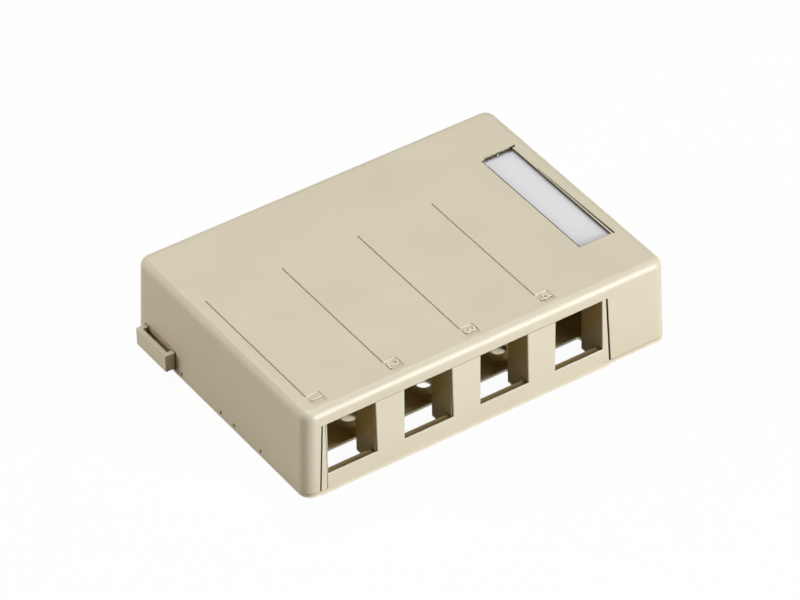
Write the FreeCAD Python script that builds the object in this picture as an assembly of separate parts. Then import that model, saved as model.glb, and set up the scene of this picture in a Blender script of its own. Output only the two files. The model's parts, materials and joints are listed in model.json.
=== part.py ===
import FreeCAD, Part

import math
import os

# A surface mount jack box: a moulded base plate with a row of four keystone-style
# ports, a lift-off cover over it, and a label under a clear window in the cover.
#
# Frame: X runs along the row of ports, left to right as seen from the front.
# Y runs from the ports towards the back. Z is up from the mounting surface.
# The origin is the middle of the box's footprint, on the mounting surface.

V = FreeCAD.Vector

# ---------------------------------------------------------------- driving sizes, mm

# The box as a whole
BODY_WIDTH = 110.5
BODY_DEPTH = 79.7
BODY_HEIGHT = 26.4
WALL_DRAFT_DEG = 2.0
CORNER_RADIUS = 3.2
TOP_EDGE_RADIUS = 2.4

# Base plate
PLATE_THICKNESS = 1.5
PLATE_INSET = 0.15
PLATE_FOOT_CHAMFER = 0.4

# Ports
PORT_COUNT = 4
PORT_PITCH = 22.86
PORT_WIDTH_AT_SILL = 14.65
PORT_WIDTH_AT_TOP = 14.25
PORT_HEIGHT = 16.0
SILL_HEIGHT = 6.1
SILL_LIP = 0.45
SILL_SHELF_DROP = 0.45
PORT_EDGE_CHAMFER = 0.15
FIRST_PORT_FROM_LEFT = 14.15

# Port panel, the part of the base that shows between the cover's front corners
PANEL_BEHIND_COVER = 0.4
PANEL_MARGIN_AT_FOOT = 2.1
PANEL_SIDE_LEAN_DEG = 3.1
PANEL_WING_STEP = 0.12
PANEL_WING_FROM_PORT = 0.25

# Pockets behind the ports
POCKET_DEPTH = 9.25
POCKET_WALL = 1.6
POCKET_WALL_FOOT = 0.3
POCKET_STEPS = (0.3, 0.35, 0.0, 0.0)
POCKET_STEP_SETBACK = 0.65
TOP_BAR_HEIGHT = 2.0
TOP_BAR_THICKNESS = 1.6

# Latch windows in the plate under the ports
LATCH_WINDOW_REACH = 13.15
LATCH_WINDOW_MARGIN = 1.9
LATCH_WINDOW_CORNER = 1.0
LATCH_WINDOW_CHAMFER = 0.4
LATCH_WEB = 3.2
FLOOR_RIB_WIDTH = 0.4
FLOOR_RIB_HEIGHT = 0.4
FLOOR_RIB_FROM_PORT = 0.4

# Screw bosses in the row behind the ports
SCREW_HOLE_RADIUS = 2.2
BOSS_TOP_RADIUS = 3.1
BOSS_FOOT_RADIUS = 4.1
BOSS_HEIGHT = 0.6
BOSS_ROW_FROM_FRONT = 19.65
KNOCKOUT_THICKNESS = 0.5
KNOCKOUT_SINK = 0.35

# Wall box screws and cable entry in the plate
WALL_SCREW_SPACING = 83.3
CABLE_ENTRY_WIDTH = 34.0
CABLE_ENTRY_DEPTH = 24.0
CABLE_ENTRY_CORNER = 4.0
CABLE_ENTRY_FROM_REAR = 10.0
ENTRY_RIM_WIDTH = 1.4
ENTRY_RIM_HEIGHT = 1.2

# Cable tie bridges on the plate
BRIDGE_LENGTH = 7.0
BRIDGE_WIDTH = 3.6
BRIDGE_HEIGHT = 3.8
BRIDGE_SLOT_LENGTH = 4.2
BRIDGE_SLOT_HEIGHT = 1.9
BRIDGE_EDGE_RADIUS = 1.0
BRIDGE_FROM_ENTRY = 3.4

# Tabs in the base, with a nose over a bead in the cover
TAB_LENGTH = 9.0
TAB_THICKNESS = 1.4
TAB_HEIGHT = 8.5
TAB_CLEARANCE = 0.7
TAB_BUTTRESS = 2.6
TAB_BUTTRESS_THICKNESS = 1.2
NOSE_LENGTH = 6.0
NOSE_PROUD = 0.3
NOSE_HEIGHT = 1.4
NOSE_LAND = 0.45
BEAD_PROUD = 0.3
BEAD_HEIGHT = 1.2
BEAD_CLEARANCE = 0.15
SIDE_TAB_FROM_FRONT = 17.0
REAR_TAB_SPREAD = 62.0

# Tie loop on the left side
LOOP_LENGTH = 14.2
LOOP_HEIGHT = 5.0
LOOP_PROUD = 2.75
LOOP_BAR = 1.4
LOOP_FOOT = 2.15
LOOP_FROM_REAR = 4.95
LOOP_BACK = 1.3
LOOP_CLEARANCE = 0.3
LOOP_EDGE_RADIUS = 0.3

# Cover
COVER_WALL = 2.0
COVER_TOP = 2.0
SEAM_GAP = 0.1
SLIT_WIDTH = 0.5
LIP_CLEARANCE = 0.12
CAVITY_CORNER_RADIUS = 1.6
CAVITY_TOP_RADIUS = 0.9

# Wall breakouts in the cover, scored on the inside and notched at the foot
BREAKOUT_SCORE = 0.8
BREAKOUT_SKIN = 0.7
LARGE_BREAKOUT_WIDTH = 18.4
LARGE_BREAKOUT_HEIGHT = 13.0
SMALL_BREAKOUT_WIDTH = 12.3
SMALL_BREAKOUT_HEIGHT = 9.0
SMALL_BREAKOUT_FROM_FRONT = 20.65
BREAKOUT_SPACING = 6.15
REAR_BREAKOUT_SPREAD = 26.0
NOTCH_WIDTH = 0.6
NOTCH_HEIGHT = 1.1

# Port lines and number pads on the top
GROOVE_FROM_PORT = 8.52
GROOVE_WIDTH = 0.44
GROOVE_DEPTH = 0.34
GROOVE_FROM_REAR = 26.65
PAD_SIZE = 3.95
PAD_DEPTH = 0.3
PAD_CORNER = 0.35
PAD_CHAMFER = 0.22
PAD_FROM_FRONT = 3.55

# Label pocket, paper and window
LABEL_POCKET_WIDTH = 9.9
LABEL_POCKET_LENGTH = 43.95
LABEL_POCKET_DEPTH = 1.3
LABEL_FROM_RIGHT = 5.95
LABEL_FROM_FRONT = 16.6
PRY_SLOT_LENGTH = 9.9
PRY_SLOT_WIDTH = 0.85
PRY_SLOT_SHIFT = 1.1
WINDOW_THICKNESS = 0.85
WINDOW_SIDE_GAP = 0.15
WINDOW_NIB_WIDTH = 0.9
WINDOW_NIB_GAP = 0.12
WINDOW_CHAMFER = 0.22
PAPER_THICKNESS = 0.2
PAPER_MARGIN = 0.25
PAPER_CLEARANCE = 0.04
SPRING_SLIT_LENGTH = 33.5
SPRING_SLIT_WIDE = 0.55
SPRING_SLIT_NARROW = 0.12
SPRING_SLIT_BEFORE_POCKET = 0.25
SPRING_LEDGE_WIDE = 0.45
SPRING_LEDGE_NARROW = 0.2

# ---------------------------------------------------------------- sizes that follow

LEAN = math.tan(math.radians(WALL_DRAFT_DEG))
LEFT = -BODY_WIDTH / 2
RIGHT = BODY_WIDTH / 2
FRONT = -BODY_DEPTH / 2
REAR = BODY_DEPTH / 2
COVER_FOOT = PLATE_THICKNESS + SEAM_GAP
CAVITY_TOP = BODY_HEIGHT - COVER_TOP
PORT_TOP = SILL_HEIGHT + PORT_HEIGHT
SHELF_HEIGHT = SILL_HEIGHT - SILL_SHELF_DROP
PANEL_TOP = PORT_TOP - LIP_CLEARANCE
PANEL_REAR = FRONT + COVER_WALL + PANEL_BEHIND_COVER
POCKET_REAR = FRONT + POCKET_DEPTH
LATCH_WINDOW_REAR = FRONT + LATCH_WINDOW_REACH
TOP_BAR_TOP = PORT_TOP + TOP_BAR_HEIGHT
BOSS_ROW = FRONT + BOSS_ROW_FROM_FRONT
ENTRY_FRONT = REAR - CABLE_ENTRY_FROM_REAR - CABLE_ENTRY_DEPTH
ENTRY_MIDDLE = ENTRY_FRONT + CABLE_ENTRY_DEPTH / 2
CUT = 1.0
SMALLEST = 1e-4


def port_middle(index):
    return LEFT + FIRST_PORT_FROM_LEFT + index * PORT_PITCH


def half_port(height):
    """Half the width of a port opening at a height above the mounting surface."""
    share = (height - SILL_HEIGHT) / PORT_HEIGHT
    return (PORT_WIDTH_AT_SILL + share * (PORT_WIDTH_AT_TOP - PORT_WIDTH_AT_SILL)) / 2


def panel_side(end, height, gap=0.0):
    """X of the panel's leaning left (-1) or right (+1) side at a height."""
    outer_port = port_middle(0 if end < 0 else PORT_COUNT - 1)
    at_foot = PORT_WIDTH_AT_SILL / 2 + PANEL_MARGIN_AT_FOOT
    lean_in = (height - COVER_FOOT) * math.tan(math.radians(PANEL_SIDE_LEAN_DEG))
    return outer_port + end * (at_foot - lean_in + gap)


# ---------------------------------------------------------------- building blocks

def box(x0, x1, y0, y1, z0, z1):
    return Part.makeBox(x1 - x0, y1 - y0, z1 - z0, V(x0, y0, z0))


def prism_along_y(points, y0, y1):
    """A solid with an outline of (x, z) points, from y0 to y1."""
    outline = [V(x, y0, z) for x, z in points]
    face = Part.Face(Part.makePolygon(outline + outline[:1]))
    return face.extrude(V(0, y1 - y0, 0))


def prism_along_z(points, z0, z1):
    """A solid with an outline of (x, y) points, from z0 to z1."""
    outline = [V(x, y, z0) for x, y in points]
    face = Part.Face(Part.makePolygon(outline + outline[:1]))
    return face.extrude(V(0, 0, z1 - z0))


def upright_edges(solid):
    """The edges that run mostly up and down."""
    found = []
    for edge in solid.Edges:
        run = edge.Vertexes[-1].Point - edge.Vertexes[0].Point
        if abs(run.z) > max(abs(run.x), abs(run.y)):
            found.append(edge)
    return found


def edges_at_height(solid, height):
    found = []
    for edge in solid.Edges:
        if all(abs(vertex.Z - height) < SMALLEST for vertex in edge.Vertexes):
            found.append(edge)
    return found


def rounded_box(x0, x1, y0, y1, z0, z1, radius):
    block = box(x0, x1, y0, y1, z0, z1)
    return block.makeFillet(radius, upright_edges(block))


def drafted_block(inset, z0, z1):
    """The box's outer form moved in by inset. The front is upright, the rest leans in."""
    low = inset + z0 * LEAN
    high = inset + z1 * LEAN
    front = FRONT + inset
    block = Part.makeWedge(LEFT + low, z0, low - REAR, high - REAR, LEFT + high,
                           RIGHT - low, z1, -front, -front, RIGHT - high)
    block.rotate(V(0, 0, 0), V(1, 0, 0), 90)
    return block


def fuse_all(first, others):
    return first.multiFuse(others).removeSplitter()


def cut_all(body, tools):
    return body.cut(Part.makeCompound(tools))


# A wall block stands in the frame of one wall: depth is measured in from the outer
# face, along is measured along the wall from its middle, and it leans with the draft.

def wall_block(depth0, depth1, along0, along1, z0, z1):
    points = [(depth0 + z0 * LEAN, z0), (depth1 + z0 * LEAN, z0),
              (depth1 + z1 * LEAN, z1), (depth0 + z1 * LEAN, z1)]
    return prism_along_y(points, along0, along1)


def on_left(block):
    moved = block.copy()
    moved.translate(V(LEFT, 0, 0))
    return moved


def on_right(block):
    return on_left(block).mirror(V(0, 0, 0), V(1, 0, 0))


def on_rear(block):
    turned = block.copy()
    turned.rotate(V(0, 0, 0), V(0, 0, 1), -90)
    turned.translate(V(0, REAR, 0))
    return turned


# ---------------------------------------------------------------- base

def plate():
    """The floor of the box, which shows as a thin strip under the cover."""
    block = rounded_box(LEFT + PLATE_INSET, RIGHT - PLATE_INSET, FRONT,
                        REAR - PLATE_INSET, 0, PLATE_THICKNESS, CORNER_RADIUS)
    return block.makeChamfer(PLATE_FOOT_CHAMFER, edges_at_height(block, 0))


def panel():
    """The upright front with the ports, its sides leaning in towards the top."""
    points = [(panel_side(-1, 0), 0), (panel_side(1, 0), 0),
              (panel_side(1, PANEL_TOP), PANEL_TOP), (panel_side(-1, PANEL_TOP), PANEL_TOP)]
    return prism_along_y(points, FRONT, PANEL_REAR)


def panel_wing(end):
    """The cut that sets back the panel outside its outermost port."""
    foot = PLATE_THICKNESS
    port = port_middle(0 if end < 0 else PORT_COUNT - 1)
    crease = port + end * (PORT_WIDTH_AT_SILL / 2 + PANEL_WING_FROM_PORT)
    outside = panel_side(end, 0) + end * CUT
    x0, x1 = sorted((crease, outside))
    return box(x0, x1, FRONT - CUT, FRONT + PANEL_WING_STEP, foot, PORT_TOP + CUT)


def port_opening(index):
    """One opening in the panel, a little wider at the sill, open at its top."""
    middle = port_middle(index)
    sill = half_port(SILL_HEIGHT)
    above = PORT_TOP + CUT
    head = half_port(above)
    points = [(middle - sill, SILL_HEIGHT), (middle + sill, SILL_HEIGHT),
              (middle + head, above), (middle - head, above)]
    return prism_along_y(points, FRONT - CUT, PANEL_REAR + CUT)


def sill_shelf(index):
    """The cut that leaves a thin lip at the front of the sill and a lower shelf behind it."""
    middle = port_middle(index)
    half = PORT_WIDTH_AT_SILL / 2
    return box(middle - half, middle + half, FRONT + SILL_LIP, PANEL_REAR + CUT,
               SHELF_HEIGHT, SILL_HEIGHT + CUT)


def opening_edges(solid):
    """The front edges of the port openings: each one's sill and its two sides."""
    reach = PORT_WIDTH_AT_SILL / 2 + SMALLEST
    found = []
    for edge in solid.Edges:
        middle = edge.CenterOfMass
        in_front = all(abs(vertex.Y - FRONT) < SMALLEST for vertex in edge.Vertexes)
        at_port = any(abs(middle.x - port_middle(index)) < reach for index in range(PORT_COUNT))
        if in_front and at_port and SILL_HEIGHT - SMALLEST < middle.z < PANEL_TOP - SMALLEST:
            found.append(edge)
    return found


def port_panel():
    """The panel with its openings, their front edges softened."""
    cuts = [panel_wing(-1), panel_wing(1)] + [port_opening(index) for index in range(PORT_COUNT)]
    front = cut_all(panel(), cuts)
    front = front.makeChamfer(PORT_EDGE_CHAMFER, opening_edges(front))
    return cut_all(front, [sill_shelf(index) for index in range(PORT_COUNT)])


def pocket_walls(index):
    """The two side walls that guide a jack, from the panel back into the box."""
    middle = port_middle(index)
    half = PORT_WIDTH_AT_SILL / 2
    step = POCKET_STEPS[index]
    left = box(middle - half - POCKET_WALL, middle - half,
               PANEL_REAR, POCKET_REAR, POCKET_WALL_FOOT, TOP_BAR_TOP)
    right = box(middle + half - step, middle + half + POCKET_WALL,
                PANEL_REAR, POCKET_REAR, POCKET_WALL_FOOT, TOP_BAR_TOP)
    return [left, right]


def pocket_step(index):
    """The slim return of a right pocket wall into its opening."""
    middle = port_middle(index)
    half = PORT_WIDTH_AT_SILL / 2
    step = POCKET_STEPS[index]
    return box(middle + half - step, middle + half + POCKET_WALL / 2,
               FRONT + POCKET_STEP_SETBACK, PANEL_REAR, SHELF_HEIGHT, PANEL_TOP)


def top_bar():
    """The bar that a jack's latch hooks over, set back behind the cover's lip."""
    half = PORT_WIDTH_AT_SILL / 2 + POCKET_WALL
    return box(port_middle(0) - half, port_middle(PORT_COUNT - 1) + half,
               PANEL_REAR, PANEL_REAR + TOP_BAR_THICKNESS, PORT_TOP, TOP_BAR_TOP)


def latch_windows():
    """The openings in the plate under the pockets, with a web between each two."""
    tools = []
    edge = PORT_WIDTH_AT_SILL / 2 + LATCH_WINDOW_MARGIN
    for index in range(PORT_COUNT):
        middle = port_middle(index)
        x0 = middle - PORT_PITCH / 2 + LATCH_WEB / 2
        x1 = middle + PORT_PITCH / 2 - LATCH_WEB / 2
        if index == 0:
            x0 = middle - edge
        if index == PORT_COUNT - 1:
            x1 = middle + edge
        hidden = PANEL_REAR - LATCH_WINDOW_CORNER - PANEL_BEHIND_COVER
        tools.append(rounded_box(x0, x1, hidden, LATCH_WINDOW_REAR,
                                 -CUT, PLATE_THICKNESS + CUT, LATCH_WINDOW_CORNER))
        tools.append(latch_window_edge(x0, x1))
    return tools


def latch_window_edge(x0, x1):
    """The chamfer round the top of a latch window, behind the panel."""
    grow = LATCH_WINDOW_CHAMFER
    foot = PLATE_THICKNESS - grow
    flare = rounded_box(x0 - grow, x1 + grow, PANEL_REAR, LATCH_WINDOW_REAR + grow,
                        foot, PLATE_THICKNESS + CUT, LATCH_WINDOW_CORNER + grow)
    return flare.makeChamfer(grow, edges_at_height(flare, foot))


def floor_ribs():
    """Low ribs on the plate, one beside each port, from its latch window to the bosses."""
    ribs = []
    for index in range(PORT_COUNT):
        x = port_middle(index) + PORT_WIDTH_AT_SILL / 2 + FLOOR_RIB_FROM_PORT
        ribs.append(box(x, x + FLOOR_RIB_WIDTH, LATCH_WINDOW_REAR, BOSS_ROW,
                        PLATE_THICKNESS, PLATE_THICKNESS + FLOOR_RIB_HEIGHT))
    return ribs


def boss(x):
    """A low ring round a screw hole, wider at its foot."""
    return Part.makeCone(BOSS_FOOT_RADIUS, BOSS_TOP_RADIUS, BOSS_HEIGHT,
                         V(x, BOSS_ROW, PLATE_THICKNESS))


def boss_places():
    return [port_middle(index) + PORT_PITCH / 2 for index in range(PORT_COUNT - 1)]


def boss_bore(x, is_open):
    """A through hole, or for a knockout a recess from above and one from below."""
    top = PLATE_THICKNESS + BOSS_HEIGHT
    if is_open:
        return [Part.makeCylinder(SCREW_HOLE_RADIUS, top + 2 * CUT, V(x, BOSS_ROW, -CUT))]
    skin_top = top - KNOCKOUT_SINK
    skin_foot = skin_top - KNOCKOUT_THICKNESS
    return [Part.makeCylinder(SCREW_HOLE_RADIUS, CUT + KNOCKOUT_SINK, V(x, BOSS_ROW, skin_top)),
            Part.makeCylinder(SCREW_HOLE_RADIUS, skin_foot + CUT, V(x, BOSS_ROW, -CUT))]


def wall_screw_holes():
    return [Part.makeCylinder(SCREW_HOLE_RADIUS, PLATE_THICKNESS + 2 * CUT,
                              V(end * WALL_SCREW_SPACING / 2, ENTRY_MIDDLE, -CUT))
            for end in (-1, 1)]


def cable_entry(grow, z0, z1):
    half = CABLE_ENTRY_WIDTH / 2 + grow
    return rounded_box(-half, half, ENTRY_FRONT - grow, ENTRY_FRONT + CABLE_ENTRY_DEPTH + grow,
                       z0, z1, CABLE_ENTRY_CORNER + grow)


def tie_bridges():
    """Small arches in front of the cable entry that cable ties pass under."""
    solids = []
    y0 = ENTRY_FRONT - ENTRY_RIM_WIDTH - BRIDGE_FROM_ENTRY - BRIDGE_WIDTH
    for x in (-CABLE_ENTRY_WIDTH / 2, 0, CABLE_ENTRY_WIDTH / 2):
        block = box(x - BRIDGE_LENGTH / 2, x + BRIDGE_LENGTH / 2, y0, y0 + BRIDGE_WIDTH,
                    PLATE_THICKNESS, PLATE_THICKNESS + BRIDGE_HEIGHT)
        across = [edge for edge in edges_at_height(block, PLATE_THICKNESS + BRIDGE_HEIGHT)
                  if edge.BoundBox.XLength < SMALLEST]
        block = block.makeFillet(BRIDGE_EDGE_RADIUS, across)
        slot = box(x - BRIDGE_SLOT_LENGTH / 2, x + BRIDGE_SLOT_LENGTH / 2,
                   y0 - CUT, y0 + BRIDGE_WIDTH + CUT,
                   PLATE_THICKNESS, PLATE_THICKNESS + BRIDGE_SLOT_HEIGHT)
        solids.append(block.cut(slot))
    return solids


def catch_tab(along):
    """A buttressed tab inside one wall, with a nose at its top that holds the bead down."""
    face = COVER_WALL + TAB_CLEARANCE
    back = face + TAB_THICKNESS
    top = PLATE_THICKNESS + TAB_HEIGHT
    tab = wall_block(face, back, along - TAB_LENGTH / 2, along + TAB_LENGTH / 2,
                     PLATE_THICKNESS, top)
    nose_foot = top - NOSE_HEIGHT
    inside = face + nose_foot * LEAN
    nose = [(inside, nose_foot), (inside - NOSE_PROUD, nose_foot),
            (inside - NOSE_PROUD, nose_foot + NOSE_LAND), (face + top * LEAN, top)]
    nose = prism_along_y(nose, along - NOSE_LENGTH / 2, along + NOSE_LENGTH / 2)
    half = TAB_BUTTRESS_THICKNESS / 2
    buttress = [(back, PLATE_THICKNESS), (back + TAB_BUTTRESS, PLATE_THICKNESS),
                (back + nose_foot * LEAN, nose_foot)]
    buttress = prism_along_y(buttress, along - half, along + half)
    return fuse_all(tab, [nose, buttress])


def side_along():
    return FRONT + SIDE_TAB_FROM_FRONT


def tabs():
    spread = REAR_TAB_SPREAD / 2
    return [on_left(catch_tab(side_along())), on_right(catch_tab(side_along())),
            on_rear(catch_tab(-spread)), on_rear(catch_tab(spread))]


def loop_ends():
    rear = REAR - LOOP_FROM_REAR
    return rear - LOOP_LENGTH, rear


def tie_loop():
    """The loop on the left side: a bar on two ends, open upwards and downwards."""
    y0, y1 = loop_ends()
    top = LOOP_FOOT + LOOP_HEIGHT
    inner = COVER_WALL + LOOP_CLEARANCE + LOOP_BACK
    outer = LEFT - LOOP_PROUD
    block = box(outer, LEFT + inner, y0, y1, LOOP_FOOT, top)
    outside = [edge for edge in upright_edges(block) if edge.Vertexes[0].X < outer + SMALLEST]
    block = block.makeFillet(LOOP_EDGE_RADIUS, outside)
    slot = box(outer + LOOP_BAR, LEFT + top * LEAN, y0 + LOOP_BAR, y1 - LOOP_BAR,
               LOOP_FOOT - CUT, top + CUT)
    post = box(LEFT + inner - LOOP_BACK, LEFT + inner, y0, y1, PLATE_THICKNESS, top)
    return fuse_all(block.cut(slot), [post])


def build_base():
    body = plate()
    rim = cable_entry(ENTRY_RIM_WIDTH, PLATE_THICKNESS, PLATE_THICKNESS + ENTRY_RIM_HEIGHT)
    bosses = [boss(x) for x in boss_places()]
    body = fuse_all(body, [rim] + bosses + floor_ribs() + tie_bridges() + tabs())
    floor_cuts = latch_windows() + wall_screw_holes()
    floor_cuts.append(cable_entry(0, -CUT, PLATE_THICKNESS + ENTRY_RIM_HEIGHT + CUT))
    for number, x in enumerate(boss_places()):
        floor_cuts += boss_bore(x, number == 1)
    body = cut_all(body, floor_cuts)
    walls = [wall for index in range(PORT_COUNT) for wall in pocket_walls(index)]
    returns = [pocket_step(index) for index in range(PORT_COUNT) if POCKET_STEPS[index] > 0]
    front = fuse_all(port_panel(), [top_bar()] + walls + returns)
    return fuse_all(body, [front, tie_loop()])


# ---------------------------------------------------------------- cover

def cover_shell():
    outer = drafted_block(0, COVER_FOOT, BODY_HEIGHT)
    outer = outer.makeFillet(CORNER_RADIUS, upright_edges(outer))
    outer = outer.makeFillet(TOP_EDGE_RADIUS, edges_at_height(outer, BODY_HEIGHT))
    inner = drafted_block(COVER_WALL, 0, CAVITY_TOP)
    inner = inner.makeFillet(CAVITY_CORNER_RADIUS, upright_edges(inner))
    inner = inner.makeFillet(CAVITY_TOP_RADIUS, edges_at_height(inner, CAVITY_TOP))
    return outer.cut(inner)


def panel_cutout():
    """The opening in the cover's front that the port panel stands in."""
    points = [(panel_side(-1, 0, SLIT_WIDTH), 0), (panel_side(1, 0, SLIT_WIDTH), 0),
              (panel_side(1, PORT_TOP, SLIT_WIDTH), PORT_TOP),
              (panel_side(-1, PORT_TOP, SLIT_WIDTH), PORT_TOP)]
    return prism_along_y(points, FRONT - CUT, FRONT + COVER_WALL + CUT)


def loop_cutout():
    """The opening at the foot of the left wall that the tie loop comes out of."""
    y0, y1 = loop_ends()
    top = LOOP_FOOT + LOOP_HEIGHT + LOOP_CLEARANCE
    return box(LEFT - CUT, LEFT + COVER_WALL + CUT, y0 - LOOP_CLEARANCE, y1 + LOOP_CLEARANCE,
               0, top)


def breakout(along, width, height):
    """A wall panel that can be broken out: scored inside, notched at its foot."""
    start = along - width / 2
    stop = along + width / 2
    top = COVER_FOOT + height
    depth = COVER_WALL + CUT
    half = BREAKOUT_SCORE / 2
    tools = []
    for side in (start, stop):
        tools.append(wall_block(BREAKOUT_SKIN, depth, side - half, side + half, 0, top))
        tools.append(wall_block(-CUT, depth, side - NOTCH_WIDTH / 2, side + NOTCH_WIDTH / 2,
                                0, COVER_FOOT + NOTCH_HEIGHT))
    tools.append(wall_block(BREAKOUT_SKIN, depth, start - half, stop + half,
                            top - BREAKOUT_SCORE, top))
    return fuse_all(tools[0], tools[1:])


def breakouts():
    small = FRONT + SMALL_BREAKOUT_FROM_FRONT + SMALL_BREAKOUT_WIDTH / 2
    large = small + (SMALL_BREAKOUT_WIDTH + LARGE_BREAKOUT_WIDTH) / 2 + BREAKOUT_SPACING
    tools = []
    for place in (on_left, on_right):
        tools.append(place(breakout(small, SMALL_BREAKOUT_WIDTH, SMALL_BREAKOUT_HEIGHT)))
        tools.append(place(breakout(large, LARGE_BREAKOUT_WIDTH, LARGE_BREAKOUT_HEIGHT)))
    for end in (-1, 1):
        middle = end * REAR_BREAKOUT_SPREAD / 2
        tools.append(on_rear(breakout(middle, LARGE_BREAKOUT_WIDTH, LARGE_BREAKOUT_HEIGHT)))
    return tools


def catch_bead(along):
    """A bead on the inside of a wall that sits just under a tab's nose."""
    top = PLATE_THICKNESS + TAB_HEIGHT - NOSE_HEIGHT - BEAD_CLEARANCE
    foot = top - BEAD_HEIGHT
    middle = (top + foot) / 2
    root = COVER_WALL / 2
    points = [(root, foot), (COVER_WALL + foot * LEAN, foot),
              (COVER_WALL + BEAD_PROUD + middle * LEAN, middle),
              (COVER_WALL + top * LEAN, top), (root, top)]
    return prism_along_y(points, along - NOSE_LENGTH / 2, along + NOSE_LENGTH / 2)


def beads():
    spread = REAR_TAB_SPREAD / 2
    return [on_left(catch_bead(side_along())), on_right(catch_bead(side_along())),
            on_rear(catch_bead(-spread)), on_rear(catch_bead(spread))]


def groove_x(index):
    return port_middle(index) - GROOVE_FROM_PORT


def pad_front():
    return FRONT + PAD_FROM_FRONT


def port_groove(index):
    """A vee line in the top that leads to a port's number pad."""
    x = groove_x(index)
    half = GROOVE_WIDTH / 2
    points = [(x - half, BODY_HEIGHT), (x + half, BODY_HEIGHT), (x, BODY_HEIGHT - GROOVE_DEPTH)]
    raised = [(x - half, BODY_HEIGHT + CUT), (x + half, BODY_HEIGHT + CUT)]
    outline = [points[2], points[1], raised[1], raised[0], points[0]]
    return prism_along_y(outline, pad_front() + PAD_SIZE - half, REAR - GROOVE_FROM_REAR)


def number_pad(index):
    x0 = groove_x(index)
    y0 = pad_front()
    floor = BODY_HEIGHT - PAD_DEPTH
    recess = rounded_box(x0, x0 + PAD_SIZE, y0, y0 + PAD_SIZE, floor, BODY_HEIGHT + CUT, PAD_CORNER)
    return recess.makeChamfer(PAD_CHAMFER, edges_at_height(recess, floor))


def label_box():
    """The label pocket's sides: left, right, front and rear."""
    right = RIGHT - LABEL_FROM_RIGHT
    front = FRONT + LABEL_FROM_FRONT
    return right - LABEL_POCKET_WIDTH, right, front, front + LABEL_POCKET_LENGTH


def label_pocket():
    x0, x1, y0, y1 = label_box()
    return box(x0, x1, y0, y1, BODY_HEIGHT - LABEL_POCKET_DEPTH, BODY_HEIGHT + CUT)


def pry_slot():
    """The slot behind the pocket, a little to its right, that the window's nib reaches over."""
    x0, x1, y0, y1 = label_box()
    start = x0 + PRY_SLOT_SHIFT
    return start, start + PRY_SLOT_LENGTH, y1, y1 + PRY_SLOT_WIDTH


def pry_slot_cut():
    x0, x1, y0, y1 = pry_slot()
    return box(x0, x1, y0, y1, CAVITY_TOP - CUT, BODY_HEIGHT + CUT)


def spring_slit():
    """The tapered slit that leaves a springy ledge along the pocket's right side."""
    x1 = label_box()[1]
    y0 = label_box()[2] - SPRING_SLIT_BEFORE_POCKET
    y1 = y0 + SPRING_SLIT_LENGTH
    points = [(x1 + SPRING_LEDGE_WIDE, y0), (x1 + SPRING_LEDGE_WIDE + SPRING_SLIT_WIDE, y0),
              (x1 + SPRING_LEDGE_NARROW + SPRING_SLIT_NARROW, y1), (x1 + SPRING_LEDGE_NARROW, y1)]
    return prism_along_z(points, CAVITY_TOP - CUT, BODY_HEIGHT + CUT)


def build_cover():
    shell = fuse_all(cover_shell(), beads())
    cuts = [panel_cutout(), loop_cutout(), label_pocket(), pry_slot_cut(), spring_slit()]
    cuts += breakouts()
    for index in range(PORT_COUNT):
        cuts.append(port_groove(index))
        cuts.append(number_pad(index))
    return cut_all(shell, cuts)


# ---------------------------------------------------------------- label

def paper_top():
    return BODY_HEIGHT - LABEL_POCKET_DEPTH + PAPER_THICKNESS


def build_paper():
    x0, x1, y0, y1 = label_box()
    floor = BODY_HEIGHT - LABEL_POCKET_DEPTH
    return box(x0 + PAPER_MARGIN, x1 - PAPER_MARGIN, y0 + PAPER_MARGIN, y1 - PAPER_MARGIN,
               floor, paper_top())


def build_window():
    """A clear strip with bevelled top edges and a nib that bridges the pry slot."""
    x0, x1, y0, y1 = label_box()
    z0 = paper_top() + PAPER_CLEARANCE
    z1 = z0 + WINDOW_THICKNESS
    strip = box(x0 + WINDOW_SIDE_GAP, x1 - WINDOW_SIDE_GAP,
                y0 + WINDOW_SIDE_GAP, y1 - WINDOW_SIDE_GAP, z0, z1)
    strip = strip.makeChamfer(WINDOW_CHAMFER, edges_at_height(strip, z1))
    slot_x0, slot_x1, slot_y0, slot_y1 = pry_slot()
    middle = (slot_x0 + slot_x1) / 2
    nib = box(middle - WINDOW_NIB_WIDTH / 2, middle + WINDOW_NIB_WIDTH / 2,
              slot_y0 - CUT, slot_y1 - WINDOW_NIB_GAP, z0, z1 - WINDOW_CHAMFER)
    return fuse_all(strip, [nib])


# ---------------------------------------------------------------- output

SUB_PARTS = {
    "base": build_base,
    "cover": build_cover,
    "paper_label": build_paper,
    "label_window": build_window,
}


def main():
    os.makedirs("parts", exist_ok=True)
    for name, build in SUB_PARTS.items():
        shape = build()
        solids = shape.Solids
        result = solids[0] if len(solids) == 1 else Part.makeCompound(solids)
        result.exportStep(os.path.join("parts", name + ".step"))
        print(name, "solids", len(solids), "valid", result.isValid(),
              "volume", round(result.Volume, 1))


main()
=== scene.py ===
# %% [markdown]
# # A surface mount jack box
#
# The object is a low box of ivory ABS that is screwed to a wall beside a desk. A base
# plate carries a row of four keystone-style ports, a cover drops over it, and a paper
# label lies in the cover under a clear strip. The CAD frame holds every piece at its
# real size, so this script only gives the pieces their finish, adds the raised numerals
# and the marks of moulding, and sets up a plain studio.
#
# The frame: X runs along the ports, Y from the ports to the back, Z up from the wall.

# %% Load the frame
import json
import math

import bmesh
import bpy
from mathutils import Matrix, Quaternion, Vector


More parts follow.
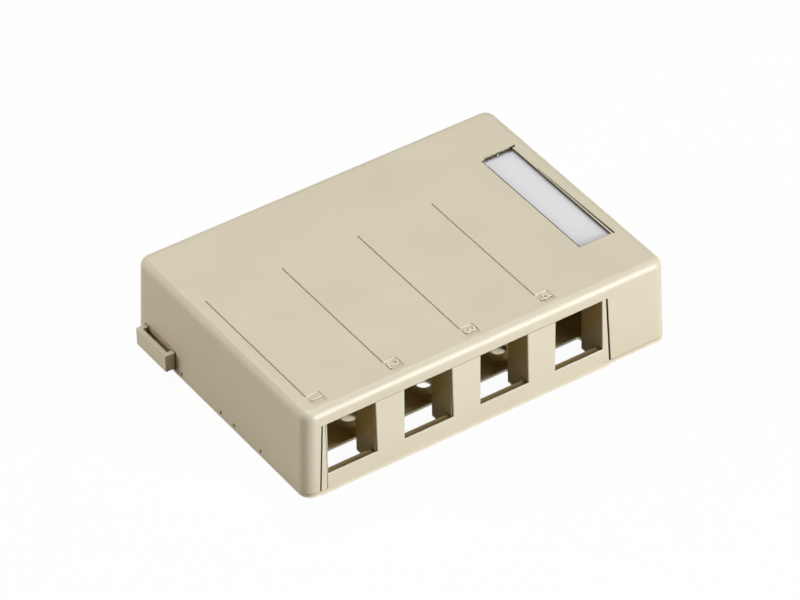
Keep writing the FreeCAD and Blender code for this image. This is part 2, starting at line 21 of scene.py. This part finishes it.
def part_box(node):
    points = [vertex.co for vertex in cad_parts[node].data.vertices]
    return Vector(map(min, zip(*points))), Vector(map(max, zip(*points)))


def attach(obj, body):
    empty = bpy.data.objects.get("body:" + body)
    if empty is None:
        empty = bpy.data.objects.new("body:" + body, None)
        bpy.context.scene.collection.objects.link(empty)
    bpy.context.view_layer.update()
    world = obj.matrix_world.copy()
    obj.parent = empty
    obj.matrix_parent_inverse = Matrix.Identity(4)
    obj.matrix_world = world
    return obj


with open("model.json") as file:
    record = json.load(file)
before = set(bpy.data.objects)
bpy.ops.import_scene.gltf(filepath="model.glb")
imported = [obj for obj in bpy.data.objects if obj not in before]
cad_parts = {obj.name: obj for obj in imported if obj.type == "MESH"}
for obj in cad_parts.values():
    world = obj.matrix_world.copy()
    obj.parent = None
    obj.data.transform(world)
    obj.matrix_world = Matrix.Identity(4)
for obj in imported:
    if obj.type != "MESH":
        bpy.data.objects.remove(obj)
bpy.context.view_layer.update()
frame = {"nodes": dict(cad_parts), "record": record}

# %% [markdown]
# ## Units and colours
#
# Blender works in metres and in linear light. A maker thinks in millimetres and picks
# colours from a chart of sRGB hex values. Two small conversions keep the script in the
# maker's words: one factor for lengths and one function for colours.

# %% Millimetres and hex colours
MM = 0.001


def linear(hex_colour):
    """An sRGB hex colour such as "D8CDB0" as the linear RGBA that a shader needs."""
    channels = [int(hex_colour[i:i + 2], 16) / 255 for i in (0, 2, 4)]
    low = [c / 12.92 for c in channels]
    high = [((c + 0.055) / 1.055) ** 2.4 for c in channels]
    return tuple(lo if c <= 0.04045 else hi for c, lo, hi in zip(channels, low, high)) + (1.0,)


print("mid grey 808080 is", round(linear("808080")[0], 3), "in linear light")

# %% [markdown]
# ## One helper for shader nodes
#
# A procedural material is a small graph. Writing it by hand takes three calls a node:
# make it, set it, link it. One function does all three. A value that is a node or one of
# its output sockets becomes a link, so the rest of a graph is plain reading.


# %% Add a node with its settings and links
def add_node(tree, kind, settings=None, **inputs):
    """A new node. settings are its own properties. An input is a value, a socket or a node."""
    node = tree.nodes.new("ShaderNode" + kind)
    for name, value in (settings or {}).items():
        setattr(node, name, value)
    for name, value in inputs.items():
        key = int(name[1:]) if name[1:].isdigit() else name.replace("_", " ")
        if isinstance(value, bpy.types.Node):
            value = value.outputs[0]
        if isinstance(value, bpy.types.NodeSocket):
            tree.links.new(value, node.inputs[key])
        else:
            node.inputs[key].default_value = value
    return node


def new_material(name):
    """An empty material, its tree, and the output node that waits for a surface."""
    material = bpy.data.materials.new(name)
    material.use_nodes = True
    tree = material.node_tree
    tree.nodes.clear()
    return material, tree, tree.nodes.new("ShaderNodeOutputMaterial")


print("helpers for shaders:", add_node.__name__, "and", new_material.__name__)

# %% [markdown]
# ## The camera
#
# A product is best shown from well back through a long lens, so that the box's edges stay
# nearly parallel. The camera looks at the box from its front left corner, from nearly
# half a right angle above the table. It could be placed by its coordinates, but two
# angles, a distance and the point that it looks at are easier to judge and to change.

# %% Place the camera
VIEW_AZIMUTH = math.radians(-33.06)
VIEW_ELEVATION = math.radians(39.0)
VIEW_ROLL = math.radians(-1.42)
CAMERA_DISTANCE = 1400 * MM
CAMERA_AIM = Vector((-0.7, -0.9, 13.2)) * MM
LENS = 247.6
SENSOR = 36.0

towards_camera = Vector((math.sin(VIEW_AZIMUTH) * math.cos(VIEW_ELEVATION),
                         -math.cos(VIEW_AZIMUTH) * math.cos(VIEW_ELEVATION),
                         math.sin(VIEW_ELEVATION)))
camera_data = bpy.data.cameras.new("camera")
camera_data.lens = LENS
camera_data.sensor_width = SENSOR
camera_data.clip_start = 100 * MM
camera_data.clip_end = 20.0
camera = bpy.data.objects.new("camera", camera_data)
camera.location = CAMERA_AIM + towards_camera * CAMERA_DISTANCE
camera.rotation_mode = "QUATERNION"
camera.rotation_quaternion = (towards_camera.to_track_quat("Z", "Y")
                              @ Quaternion((0, 0, 1), VIEW_ROLL))
bpy.context.scene.collection.objects.link(camera)
bpy.context.scene.camera = camera
bpy.context.scene.view_settings.view_transform = "Standard"
print("camera at", [round(v, 3) for v in camera.location])

# %% [markdown]
# ## The floor and the background
#
# The box stands on a white table with nothing behind it. A table lit to pure white
# would throw light up into the box and wash it out. So the floor is a plain pale surface
# that takes the box's shadow, and what the camera sees of it, straight or through a clear
# piece, is mostly an even white of strength 1. The same is done to the world behind it.
# The floor lies a tenth of a millimetre under the box, because two surfaces in one plane
# flicker into each other. It is clear from below and clear to rays that start within a
# millimetre of it, so the underside can be seen and lit. The world also gives a little
# warm light from all round, as the walls of a room do.

# %% What shows as background
FLOOR_WHITE_SHARE = 0.96
GLOSSY_SHARE = 0.12


def seen_share(tree):
    """How white a ray finds the background: 1 from the camera or through clear plastic.

    A reflection takes a part of it. A ray that has met a matt surface takes nothing,
    because it carries light to the object."""
    path = add_node(tree, "LightPath")
    mirrored = add_node(tree, "Math", {"operation": "MULTIPLY"},
                        _0=path.outputs["Is Glossy Ray"], _1=GLOSSY_SHARE)
    outside = add_node(tree, "Math", {"operation": "MAXIMUM"},
                       _0=path.outputs["Is Camera Ray"], _1=mirrored)
    seen = add_node(tree, "Math", {"operation": "MAXIMUM"},
                    _0=outside, _1=path.outputs["Is Transmission Ray"])
    direct = add_node(tree, "Math", {"operation": "LESS_THAN"},
                      _0=path.outputs["Diffuse Depth"], _1=0.5)
    return add_node(tree, "Math", {"operation": "MULTIPLY"}, _0=seen, _1=direct)


print("the floor looks", FLOOR_WHITE_SHARE, "white, and", GLOSSY_SHARE, "of it is mirrored")

# %% Make the floor
FLOOR_RADIUS = 3000 * MM
FLOOR_GAP = 0.1 * MM
CONTACT = 1.0 * MM


def table_laminate():
    """White table laminate, matt. It throws little light back up, as a grey card would."""
    material, tree, output = new_material("white_table_laminate")
    path = add_node(tree, "LightPath")
    colour = add_node(tree, "Mix", {"data_type": "RGBA"}, Factor=path.outputs["Is Diffuse Ray"],
                      _6=linear("F2F1EE"), _7=linear("8C867A"))
    surface = add_node(tree, "BsdfPrincipled", Base_Color=colour.outputs[2], Roughness=0.7)
    white = add_node(tree, "Emission", Color=(1, 1, 1, 1), Strength=1.0)
    share = add_node(tree, "Math", {"operation": "MULTIPLY"},
                     _0=seen_share(tree), _1=FLOOR_WHITE_SHARE)
    both = add_node(tree, "MixShader", _0=share, _1=surface, _2=white)
    below = add_node(tree, "NewGeometry")
    touching = add_node(tree, "Math", {"operation": "LESS_THAN"},
                        _0=path.outputs["Ray Length"], _1=CONTACT)
    open_floor = add_node(tree, "Math", {"operation": "MAXIMUM"},
                          _0=below.outputs["Backfacing"], _1=touching)
    clear = add_node(tree, "BsdfTransparent")
    sided = add_node(tree, "MixShader", _0=open_floor, _1=both, _2=clear)
    tree.links.new(sided.outputs[0], output.inputs["Surface"])
    return material


def make_floor():
    """A wide disc for the box to stand on; it is no part of the box."""
    mesh = bpy.data.meshes.new("floor")
    shape = bmesh.new()
    bmesh.ops.create_circle(shape, cap_ends=True, segments=64, radius=FLOOR_RADIUS)
    shape.to_mesh(mesh)
    shape.free()
    floor = bpy.data.objects.new("floor", mesh)
    floor.location.z = -FLOOR_GAP
    bpy.context.scene.collection.objects.link(floor)
    mesh.materials.append(table_laminate())
    return floor


floor = make_floor()
print("floor of", len(floor.data.vertices), "corners, radius", FLOOR_RADIUS, "m")

# %% Make the world
WORLD_AMBIENT = 0.07


def make_world():
    """White to the eye, and a weak warm light to the object."""
    world = bpy.data.worlds.new("studio")
    world.use_nodes = True
    tree = world.node_tree
    tree.nodes.clear()
    soft = add_node(tree, "Background", Color=linear("FFE6C4"), Strength=WORLD_AMBIENT)
    white = add_node(tree, "Background", Color=(1, 1, 1, 1), Strength=1.0)
    both = add_node(tree, "MixShader", _0=seen_share(tree), _1=soft, _2=white)
    output = tree.nodes.new("ShaderNodeOutputWorld")
    tree.links.new(both.outputs[0], output.inputs["Surface"])
    bpy.context.scene.world = world


make_world()
print("ambient light", WORLD_AMBIENT)

# %% [markdown]
# ## The lamps
#
# Moulded plastic looks like plastic when soft lamps slide along its rounded edges. The key
# stands near and low at the front right, so the port panel is the brightest side and the
# inside of each port stays dark. A small lamp higher up adds only its reflection: it draws
# the bright line along the rounded top edge and the bevels of the pads. The top is lit from
# behind, which leaves the sills in shade. The left lamp is a matt board that lifts the left
# wall and leaves no glare on it. The last lamp shines up from under the table, which is
# clear from below, so the underside has light when someone turns the box over.


# %% Hang the softboxes
def softbox(name, azimuth, elevation, distance, size, power, colour="FFFFFF",
            diffuse=True, glossy=True):
    """A square area lamp that faces the box. Azimuth 0 is straight in front, 90 on the right.

    diffuse and glossy say whether it lights matt surfaces and whether it is reflected."""
    a, e = math.radians(azimuth), math.radians(elevation)
    away = Vector((math.sin(a) * math.cos(e), -math.cos(a) * math.cos(e), math.sin(e)))
    lamp_data = bpy.data.lights.new(name, "AREA")
    lamp_data.size = size
    lamp_data.energy = power
    lamp_data.color = linear(colour)[:3]
    lamp = bpy.data.objects.new(name, lamp_data)
    lamp.location = away * distance
    lamp.rotation_mode = "QUATERNION"
    lamp.rotation_quaternion = away.to_track_quat("Z", "Y")
    lamp.visible_camera = False
    lamp.visible_transmission = False
    lamp.visible_diffuse = diffuse
    lamp.visible_glossy = glossy
    bpy.context.scene.collection.objects.link(lamp)
    print(name, "at", [round(v, 2) for v in lamp.location], "m,", power, "W")


softbox("key_softbox", azimuth=24, elevation=17, distance=1.2, size=0.65, power=14.6)
softbox("edge_softbox", azimuth=34, elevation=40, distance=1.5, size=0.3, power=2.8, diffuse=False)
softbox("top_softbox", azimuth=165, elevation=70, distance=3.0, size=1.9, power=52)
softbox("left_softbox", azimuth=-128, elevation=20, distance=1.0, size=0.5, power=5.1,
        colour="FFF7EC", glossy=False)
softbox("floor_softbox", azimuth=-30, elevation=-55, distance=1.5, size=1.0, power=16)

# %% [markdown]
# ## Ivory ABS, injection moulded
#
# Network boxes are moulded in ABS, a tough plastic with an index of about 1.54. The mould's
# outer walls are spark-eroded, which leaves a fine satin grain: highlights spread softly,
# with no mirror in them. The core that forms the inside is only polished, so the inside is a
# little smoother. Its deeper, warmer colour in the pockets is painted shade. The colour is
# not quite even either. Pigment drifts a little as the melt flows, over centimetres, and a
# handled box has faint smears. Three noises at those three scales, in real millimetres, give that.
# No moulded edge is sharp either, so the shading turns each one over a quarter of a
# millimetre, without a change to the shape.

# %% Scales of the moulded plastic
GRAIN = 0.35 * MM  # the real grain is about 0.05 mm, too fine to show, so it is drawn coarser
GRAIN_DEPTH = 0.006 * MM
FLOW = 22 * MM
SMEAR = 7 * MM
EDGE_ROUND = 0.25 * MM
ABS_IOR = 1.54
ABS_ROUGHNESS = 0.36
SMEAR_ROUGHNESS = 0.04
CORE_ROUGHNESS = 0.30

print("noises repeat", [round(1 / size) for size in (GRAIN, SMEAR, FLOW)], "times a metre")

# %% [markdown]
# ## Telling the inside from the outside
#
# One piece of plastic has two finishes, a satin outside and a smoother inside that also
# carries the painted shade, and they meet where the two halves of the mould met. The faces
# could be picked by hand and given a second material, but there are hundreds. Instead, a
# surface is on the inside when it lies deeper than the skin below each outer face. The outer
# faces are known from the piece's box, so the depth can be worked out from the place alone.
# The body is as far to the left as to the right of the origin, so one side stands for both.
# The walls lean in by two degrees, which the height undoes.

# %% A mask for the core side
WALL_DRAFT = math.tan(math.radians(2.0))


def core_side(tree, place, node, skin, front_skin):
    """1 where the surface lies deeper than the skin under every face of the node's box."""
    low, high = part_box(node)
    split = add_node(tree, "SeparateXYZ", Vector=place)
    lean = add_node(tree, "Math", {"operation": "MULTIPLY"}, _0=split.outputs["Z"], _1=WALL_DRAFT)
    side = add_node(tree, "Math", {"operation": "ABSOLUTE"}, _0=split.outputs["X"])
    side = add_node(tree, "Math", {"operation": "ADD"}, _0=side, _1=lean)
    rear = add_node(tree, "Math", {"operation": "ADD"}, _0=split.outputs["Y"], _1=lean)
    limits = [("LESS_THAN", side, high[0] - skin),
              ("LESS_THAN", rear, high[1] - skin),
              ("GREATER_THAN", split.outputs["Y"], low[1] + front_skin),
              ("LESS_THAN", split.outputs["Z"], high[2] - skin),
              ("GREATER_THAN", split.outputs["Z"], low[2] + skin)]
    mask = None
    for operation, value, limit in limits:
        test = add_node(tree, "Math", {"operation": operation}, _0=value, _1=limit)
        mask = test if mask is None else add_node(tree, "Math", {"operation": "MULTIPLY"},
                                                  _0=mask, _1=test)
    return mask


# %% [markdown]
# ## Where a surface is shut in
#
# Shade is painted in two kinds of closed places. In corners and gaps narrower than about a
# millimetre, a grey-brown painted shade draws the dark lines of the grooves and slits. In
# pockets centimetres deep, a deeper, warmer ivory is painted as the shade of light that
# bounces from wall to wall, so the core side gets its full depth of colour only there, and
# looks paler once the cover is off.
# Ambient occlusion finds such places: it is 1 where the sky is open and 0 where the
# surface sees only plastic within a given reach. The table counts too, so the face that
# stands on it is left out.

# %% Masks for painted shade in pockets and corners
POCKET_REACH = 30 * MM
OPEN_SHARE = 0.25
CORNER_SHADE_REACH = 1.2 * MM


def above_table(tree, place):
    """0 on the face that stands on the table and just above it, 1 on the rest."""
    height = add_node(tree, "SeparateXYZ", Vector=place)
    return add_node(tree, "Math", {"operation": "GREATER_THAN"},
                    _0=height.outputs["Z"], _1=CONTACT)


def pocket_depth(tree, inside, off_table):
    """Painted shade: full in a shut pocket of the core side and in any narrow hollow, less in the
    open.
    """
    sky = add_node(tree, "AmbientOcclusion", {"samples": 4}, Distance=POCKET_REACH)
    shut_in = add_node(tree, "MapRange", Value=sky.outputs["AO"], From_Min=0.35, From_Max=0.80,
                       To_Min=1.0, To_Max=OPEN_SHARE)
    pocket = add_node(tree, "Math", {"operation": "MULTIPLY"}, _0=inside, _1=shut_in)
    hollow = add_node(tree, "MapRange", Value=sky.outputs["AO"], From_Min=0.12, From_Max=0.30,
                      To_Min=1.0, To_Max=0.0)
    hollow = add_node(tree, "Math", {"operation": "MULTIPLY"}, _0=hollow, _1=off_table)
    return add_node(tree, "Math", {"operation": "MAXIMUM"}, _0=pocket, _1=hollow)


def corner_dust(tree, off_table, corner_shade_strength):
    """Painted shade: the given strength in a tight corner, falling to 0 on an open face."""
    corner = add_node(tree, "AmbientOcclusion", {"samples": 6}, Distance=CORNER_SHADE_REACH)
    corner_shade = add_node(tree, "MapRange", Value=corner.outputs["AO"], From_Min=0.25, From_Max=0.72,
                    To_Min=corner_shade_strength, To_Max=0.0)
    return add_node(tree, "Math", {"operation": "MULTIPLY"}, _0=corner_shade, _1=off_table)


# how far the painted corner shade and the painted pocket shade look around
print("dust looks", CORNER_SHADE_REACH / MM, "mm around, pockets", POCKET_REACH / MM, "mm")

# %% The moulded plastic
# the deeper, warmer ivory painted as shade in pockets and on the inside
POCKET_SHADE_IVORY = "C7B276"
# grey-brown painted shade for tight corners, grooves and slits
GREY_BROWN_SHADE = "5E5236"


def moulded_abs(name, node, outside, drift, skin, front_skin, corner_shade_strength=0.85):
    """ABS as it leaves the mould, satin outside and smoother inside, with painted shade: a deeper
    colour in shut pockets and grey-brown in tight corners.

    outside and drift are the two tints of the outer face. skin is how deep the outer
    finish reaches below it, and front_skin the same at the port side."""
    material, tree, output = new_material(name)
    place = add_node(tree, "TexCoord").outputs["Object"]
    flow = add_node(tree, "TexNoise", Vector=place, Scale=1 / FLOW, Detail=4.0)
    smear = add_node(tree, "TexNoise", Vector=place, Scale=1 / SMEAR, Detail=5.0, Roughness=0.6)
    grain = add_node(tree, "TexNoise", Vector=place, Scale=1 / GRAIN, Detail=2.0)
    pigment = add_node(tree, "MapRange", Value=flow, From_Min=0.35, From_Max=0.65)
    tint = add_node(tree, "Mix", {"data_type": "RGBA"}, Factor=pigment,
                    _6=linear(outside), _7=linear(drift))
    off_table = above_table(tree, place)
    inside = pocket_depth(tree, core_side(tree, place, node, skin, front_skin), off_table)
    # painted shade: the deeper ivory where the inside is shut in
    colour = add_node(tree, "Mix", {"data_type": "RGBA"}, Factor=inside,
                      _6=tint.outputs[2], _7=linear(POCKET_SHADE_IVORY))
    # painted shade: grey-brown in tight corners
    colour = add_node(tree, "Mix", {"data_type": "RGBA"},
                      Factor=corner_dust(tree, off_table, corner_shade_strength),
                      _6=colour.outputs[2], _7=linear(GREY_BROWN_SHADE))
    satin = add_node(tree, "MapRange", Value=smear, From_Min=0.3, From_Max=0.7,
                     To_Min=ABS_ROUGHNESS - SMEAR_ROUGHNESS,
                     To_Max=ABS_ROUGHNESS + SMEAR_ROUGHNESS)
    gloss = add_node(tree, "Mix", {"data_type": "FLOAT"}, Factor=inside, A=satin, B=CORE_ROUGHNESS)
    worn = add_node(tree, "Bevel", {"samples": 6}, Radius=EDGE_ROUND)
    bump = add_node(tree, "Bump", Strength=1.0, Distance=GRAIN_DEPTH, Height=grain, Normal=worn)
    plastic = add_node(tree, "BsdfPrincipled", Base_Color=colour.outputs[2], Roughness=gloss,
                       IOR=ABS_IOR, Normal=bump)
    tree.links.new(plastic.outputs[0], output.inputs["Surface"])
    return material, plastic


def finish_piece(node, material):
    """Give a CAD piece its one material."""
    piece = frame["nodes"][node]
    piece.data.materials.clear()
    piece.data.materials.append(material)
    return piece


cover_abs, _ = moulded_abs("ivory_abs_cover", "cover", outside="D8D2BC", drift="D5CEB8",
                           skin=1.5 * MM, front_skin=1.5 * MM)
cover = finish_piece("cover", cover_abs)
print(cover.name, "is", cover_abs.name, "with", len(cover_abs.node_tree.nodes), "nodes")

# %% [markdown]
# ## The base, and the skins of its knockouts
#
# The base comes from the same plastic. Two of its three screw places are knockouts: the
# hole is closed by a skin half a millimetre thick, and that thin the ivory lets the white
# of the wall shine through. In the shader that is a rough transmission, limited to two
# round spots, with a paler colour: light that crosses thin plastic picks up little of its
# tint. The spots lie one port pitch to each side of the open screw hole.

# %% Find the ports and the knockouts
MOUNTS = {row["name"]: Vector(row["pos_m"]) for row in frame["record"]["mounts"]}
PORT_COUNT = sum(name.startswith("port_") for name in MOUNTS)
port_x = [MOUNTS[f"port_{number}_face"].x for number in range(1, PORT_COUNT + 1)]
PORT_PITCH = port_x[1] - port_x[0]
open_hole = MOUNTS["centre_screw"]
knockouts = [Vector((open_hole.x + side * PORT_PITCH, open_hole.y, 0)) for side in (-1, 1)]
print("ports at", [round(x / MM, 2) for x in port_x], "mm")
print("knockouts at", [tuple(round(v / MM, 2) for v in place[:2]) for place in knockouts], "mm")

# %% The base's plastic
KNOCKOUT_RADIUS = 2.2 * MM
SKIN_CLARITY = 0.9
THIN_IVORY = "EADFC0"

base_abs, base_plastic = moulded_abs("ivory_abs_base", "base", outside="DDD6C2",
                                     drift="DAD3BE", skin=1.0 * MM, front_skin=0.5 * MM)
base_tree = base_abs.node_tree
base_place = add_node(base_tree, "TexCoord").outputs["Object"]
flat_place = add_node(base_tree, "VectorMath", {"operation": "MULTIPLY"},
                      _0=base_place, _1=(1, 1, 0))
skins = None
for middle in knockouts:
    reach = add_node(base_tree, "VectorMath", {"operation": "DISTANCE"}, _0=flat_place, _1=middle)
    skin = add_node(base_tree, "Math", {"operation": "LESS_THAN"},
                    _0=reach.outputs["Value"], _1=KNOCKOUT_RADIUS)
    skins = skin if skins is None else add_node(base_tree, "Math", {"operation": "ADD"},
                                                _0=skins, _1=skin)
clarity = add_node(base_tree, "Math", {"operation": "MULTIPLY"}, _0=skins, _1=SKIN_CLARITY)
base_tree.links.new(clarity.outputs[0], base_plastic.inputs["Transmission Weight"])
thick_colour = base_plastic.inputs["Base Color"].links[0].from_socket
thin_colour = add_node(base_tree, "Mix", {"data_type": "RGBA"}, Factor=skins,
                       _6=thick_colour, _7=linear(THIN_IVORY))
base_tree.links.new(thin_colour.outputs[2], base_plastic.inputs["Base Color"])
base = finish_piece("base", base_abs)
print(base.name, "is", base_abs.name, "with", len(base_tree.nodes), "nodes")

# %% [markdown]
# ## The numerals on the pads
#
# Each port has a shallow square pad on the top with its number raised in it. The mould
# carries them as engraved strokes, so they stand up by about a quarter of a millimetre and
# end just under the top face. A text object is already that: an outline with a depth and a
# small bevel. It is turned to be read from the left, as a plain mesh in the cover's own
# frame. The digits have their own plastic, paler than the cover as a painted highlight that
# makes them read as lit strokes, and with less painted shade at their feet.

# %% Raise the numerals
PAD_FROM_PORT = -8.52 * MM  # from a port's middle to the left side of its pad
PAD_FROM_FRONT = 3.55 * MM
PAD_SIZE = 3.95 * MM
PAD_DEPTH = 0.3 * MM
NUMERAL_HEIGHT = 3.4 * MM
NUMERAL_HALF_DEPTH = 0.14 * MM
NUMERAL_BEVEL = 0.03 * MM
NUMERAL_RISE = 0.10 * MM
STROKE_SPREAD = 0.01 * MM
CAP_SHARE = 0.72  # a digit's height as a share of the font's size


def raised_numeral(number, middle, plastic):
    """A digit whose top points along +X and whose lower part is sunk in the pad's floor."""
    name = f"port_numeral_{number}"
    text = bpy.data.curves.new(name, "FONT")
    text.body = str(number)
    text.size = NUMERAL_HEIGHT / CAP_SHARE
    text.extrude = NUMERAL_HALF_DEPTH
    text.bevel_depth = NUMERAL_BEVEL
    text.offset = STROKE_SPREAD
    text.bevel_resolution = 2
    text.resolution_u = 6
    maker = bpy.data.objects.new(name + "_text", text)
    bpy.context.scene.collection.objects.link(maker)
    bpy.context.view_layer.update()
    evaluated = maker.evaluated_get(bpy.context.evaluated_depsgraph_get())
    mesh = bpy.data.meshes.new_from_object(evaluated)
    bpy.data.objects.remove(maker)
    corners = [vertex.co for vertex in mesh.vertices]
    centre = Vector([(min(c[axis] for c in corners) + max(c[axis] for c in corners)) / 2
                     for axis in range(3)])
    mesh.transform(Matrix.Translation(middle) @ Matrix.Rotation(math.radians(-90), 4, "Z")
                   @ Matrix.Translation(-centre))
    numeral = bpy.data.objects.new(name, mesh)
    bpy.context.scene.collection.objects.link(numeral)
    mesh.materials.clear()
    mesh.materials.append(plastic)
    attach(numeral, "cover")
    return numeral


# a paler ivory as a painted highlight on the raised strokes, with weaker painted corner shade
numeral_abs_painted_highlight, _ = moulded_abs("ivory_abs_numerals_painted_highlight", "cover", outside="ECE6D2",
                             drift="E8E2CE", skin=1.5 * MM, front_skin=1.5 * MM,
                             corner_shade_strength=0.65)
pad_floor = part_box("cover")[1][2] - PAD_DEPTH
pad_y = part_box("cover")[0][1] + PAD_FROM_FRONT + PAD_SIZE / 2
for number, x in enumerate(port_x, start=1):
    middle = Vector((x + PAD_FROM_PORT + PAD_SIZE / 2, pad_y, pad_floor + NUMERAL_RISE))
    piece = raised_numeral(number, middle, numeral_abs_painted_highlight)
    size = [round(side / MM, 2) for side in piece.dimensions]
    print(piece.name, "is", size, "mm and has", len(piece.data.polygons), "faces")

# %% [markdown]
# ## The paper label
#
# The label is a strip of uncoated white card. Its fibres show as faint flecks and leave it
# quite matt, and under the clear strip it looks a little cooler than the ivory around it.

# %% White card
FIBRE = 0.6 * MM


def label_card():
    """Uncoated card: matt, with fibre flecks about half a millimetre long."""
    material, tree, output = new_material("white_label_card")
    place = add_node(tree, "TexCoord").outputs["Object"]
    fibre = add_node(tree, "TexNoise", Vector=place, Scale=1 / FIBRE, Detail=6.0,
                     Roughness=0.7)
    fleck = add_node(tree, "MapRange", Value=fibre, From_Min=0.3, From_Max=0.7)
    tint = add_node(tree, "Mix", {"data_type": "RGBA"}, Factor=fleck,
                    _6=linear("EBECF1"), _7=linear("E6E7EC"))
    card = add_node(tree, "BsdfPrincipled", Base_Color=tint.outputs[2], Roughness=0.85, IOR=1.5)
    tree.links.new(card.outputs[0], output.inputs["Surface"])
    return material


label = finish_piece("paper_label", label_card())
print(label.name, "is", label.data.materials[0].name)

# %% [markdown]
# ## The clear strip
#
# The strip is clear polycarbonate sheet, nearly a millimetre thick, with bevelled edges and
# an index of 1.58. It bends the view, so the card seems to lie just under its top face and
# the bevels flash. Light that only crosses it on its way to the card and back goes
# straight, because rendered glass would stop lamp light and leave the card in the dark.
# The sawn sides and ends scatter most of that light away, so the slot behind the strip
# and the gap beside it stay dark. The bevel at the front end is ground and frosted, so it
# shows as a clean pale edge.

# %% Clear polycarbonate
BEVEL_SLOPE = math.cos(math.radians(45.0))
SLOPE_SLACK = 0.1


def clear_polycarbonate():
    """Clear sheet: glass to the eye, plain transparency to the light that crosses it.

    The light is let through the level faces, and nearly stopped at the sides and ends."""
    material, tree, output = new_material("clear_polycarbonate")
    glass = add_node(tree, "BsdfPrincipled", Base_Color=linear("FAFBFC"), Roughness=0.05,
                     IOR=1.58, Transmission_Weight=1.0)
    shape = add_node(tree, "NewGeometry")
    slope = add_node(tree, "SeparateXYZ", Vector=shape.outputs["Normal"])
    level = add_node(tree, "Math", {"operation": "ABSOLUTE"}, _0=slope.outputs["Z"])
    bevel = add_node(tree, "Math", {"operation": "COMPARE"},
                     _0=level, _1=BEVEL_SLOPE, _2=SLOPE_SLACK)
    front_end = add_node(tree, "Math", {"operation": "LESS_THAN"},
                         _0=slope.outputs["Y"], _1=-SLOPE_SLACK)
    ground = add_node(tree, "Math", {"operation": "MULTIPLY"}, _0=bevel, _1=front_end)
    frost = add_node(tree, "BsdfDiffuse", Color=linear("F6F7F9"))
    seen = add_node(tree, "MixShader", _0=ground, _1=glass, _2=frost)
    face = add_node(tree, "Math", {"operation": "GREATER_THAN"},
                    _0=level, _1=BEVEL_SLOPE + SLOPE_SLACK)
    passed = add_node(tree, "Mix", {"data_type": "RGBA"}, Factor=face,
                      _6=linear("2E2B26"), _7=(1, 1, 1, 1))
    clear = add_node(tree, "BsdfTransparent", Color=passed.outputs[2])
    path = add_node(tree, "LightPath")
    crossing = add_node(tree, "Math", {"operation": "MAXIMUM"},
                        _0=path.outputs["Is Shadow Ray"], _1=path.outputs["Is Diffuse Ray"])
    both = add_node(tree, "MixShader", _0=crossing, _1=seen, _2=clear)
    tree.links.new(both.outputs[0], output.inputs["Surface"])
    return material


strip = finish_piece("label_window", clear_polycarbonate())
print(strip.name, "is", strip.data.materials[0].name)
